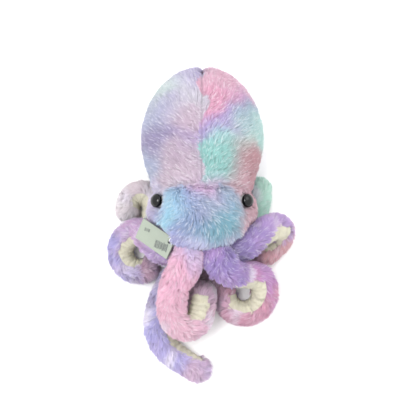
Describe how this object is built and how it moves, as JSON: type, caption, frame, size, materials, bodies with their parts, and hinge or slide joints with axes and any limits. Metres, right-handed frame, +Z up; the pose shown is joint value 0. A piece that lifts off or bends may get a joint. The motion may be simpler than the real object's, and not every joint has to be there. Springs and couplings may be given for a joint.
{
  "type": "plush octopus",
  "caption": "Soft toy octopus with a tall rounded mantle, domed eyes, curling stuffed arms and a folded hang tag, lying on its back.",
  "frame": {"origin": "on the surface the toy lies on, under the middle of its overall box", "axes": "+Z up out of the face, +Y towards the top of the mantle, -Y towards the arms, +X to the viewer's right looking down at the face"},
  "size_m": [0.2108, 0.3548, 0.1221],
  "materials": {
    "pile_mantle": "long tie-dyed pile",
    "pile_face": "long tie-dyed pile",
    "pile_cheek": "long tie-dyed pile",
    "underside_cloth": "short cream plush, gathered at the seams",
    "eye_plastic": "polished black",
    "washer_plastic": "moulded white",
    "pellet_cloth": "plain woven cloth",
    "filling": "loose white fibre",
    "pile_front_left": "long tie-dyed pile",
    "pile_side_left": "long tie-dyed pile",
    "pile_back_left": "long tie-dyed pile",
    "pile_under_left": "long tie-dyed pile",
    "pile_under_middle": "long tie-dyed pile",
    "pile_back_right": "long tie-dyed pile",
    "pile_side_right": "long tie-dyed pile",
    "pile_front_right": "long tie-dyed pile",
    "tag_card": "coated paper card",
    "tag_thread": "twisted white thread"
  },
  "bodies": {
    "body": {"mantle_front_left": "pile_mantle", "mantle_front_right": "pile_mantle", "mantle_back_left": "pile_mantle", "mantle_back_right": "pile_mantle", "face_panel": "pile_face", "head_back": "pile_cheek", "base_panel": "underside_cloth", "cheek_left": "pile_cheek", "eye_left": "eye_plastic", "eye_washer_left": "washer_plastic", "cheek_right": "pile_cheek", "eye_right": "eye_plastic", "eye_washer_right": "washer_plastic", "pellet_bag": "pellet_cloth", "body_stuffing": "filling", "hang_tag_loop": "tag_thread"},
    "arm_front_left": {"arm_front_left_sleeve": "pile_front_left", "arm_front_left_underside": "underside_cloth", "arm_front_left_stuffing": "filling"},
    "arm_side_left": {"arm_side_left_sleeve": "pile_side_left", "arm_side_left_underside": "underside_cloth", "arm_side_left_stuffing": "filling"},
    "arm_back_left": {"arm_back_left_sleeve": "pile_back_left", "arm_back_left_underside": "underside_cloth", "arm_back_left_stuffing": "filling"},
    "arm_under_left": {"arm_under_left_sleeve": "pile_under_left", "arm_under_left_underside": "underside_cloth", "arm_under_left_stuffing": "filling"},
    "arm_under_middle": {"arm_under_middle_sleeve": "pile_under_middle", "arm_under_middle_underside": "underside_cloth", "arm_under_middle_stuffing": "filling"},
    "arm_back_right": {"arm_back_right_sleeve": "pile_back_right", "arm_back_right_underside": "underside_cloth", "arm_back_right_stuffing": "filling"},
    "arm_side_right": {"arm_side_right_sleeve": "pile_side_right", "arm_side_right_underside": "underside_cloth", "arm_side_right_stuffing": "filling"},
    "arm_front_right": {"arm_front_right_sleeve": "pile_front_right", "arm_front_right_underside": "underside_cloth", "arm_front_right_stuffing": "filling"},
    "hang_tag": {"hang_tag_back_leaf": "tag_card"},
    "hang_tag_leaf": {"hang_tag_front_leaf": "tag_card"}
  },
  "joints": [
    {"name": "front_left_lift", "type": "hinge", "parent": "body", "child": "arm_front_left", "pos_m": [-0.01329, -0.03463, 0.08923], "axis": [-1, 0, 0], "range_deg": [0, 50]},
    {"name": "side_left_swing", "type": "hinge", "parent": "body", "child": "arm_side_left", "pos_m": [-0.03403, -0.03463, 0.06885], "axis": [0, 0, 1], "range_deg": [0, 18]},
    {"name": "back_left_swing", "type": "hinge", "parent": "body", "child": "arm_back_left", "pos_m": [-0.03428, -0.03463, 0.03976], "axis": [0, 0, 1], "range_deg": [0, 7]},
    {"name": "under_left_lift", "type": "hinge", "parent": "body", "child": "arm_under_left", "pos_m": [-0.01329, -0.03463, 0.01877], "axis": [-1, 0, 0], "range_deg": [0, 10]},
    {"name": "under_middle_swing", "type": "hinge", "parent": "body", "child": "arm_under_middle", "pos_m": [0.01518, -0.03463, 0.01877], "axis": [0, 0, 1], "range_deg": [0, 7]},
    {"name": "back_right_swing", "type": "hinge", "parent": "body", "child": "arm_back_right", "pos_m": [0.03618, -0.03463, 0.03976], "axis": [0, 0, -1], "range_deg": [0, 8]},
    {"name": "side_right_lift", "type": "hinge", "parent": "body", "child": "arm_side_right", "pos_m": [0.03593, -0.03463, 0.06885], "axis": [0, -1, 0], "range_deg": [0, 35]},
    {"name": "front_right_lift", "type": "hinge", "parent": "body", "child": "arm_front_right", "pos_m": [0.01518, -0.03463, 0.08923], "axis": [-1, 0, 0], "range_deg": [0, 50]},
    {"name": "tag_swing", "type": "hinge", "parent": "body", "child": "hang_tag", "pos_m": [-0.03355, -0.03063, 0.091], "axis": [-0.5672, 0.7734, -0.2832], "range_deg": [0, 25]},
    {"name": "tag_open", "type": "hinge", "parent": "hang_tag", "child": "hang_tag_leaf", "pos_m": [-0.04103, -0.04601, 0.08393], "axis": [0.7252, -0.5458, 0.4198], "range_deg": [0, 110]}
  ]
}
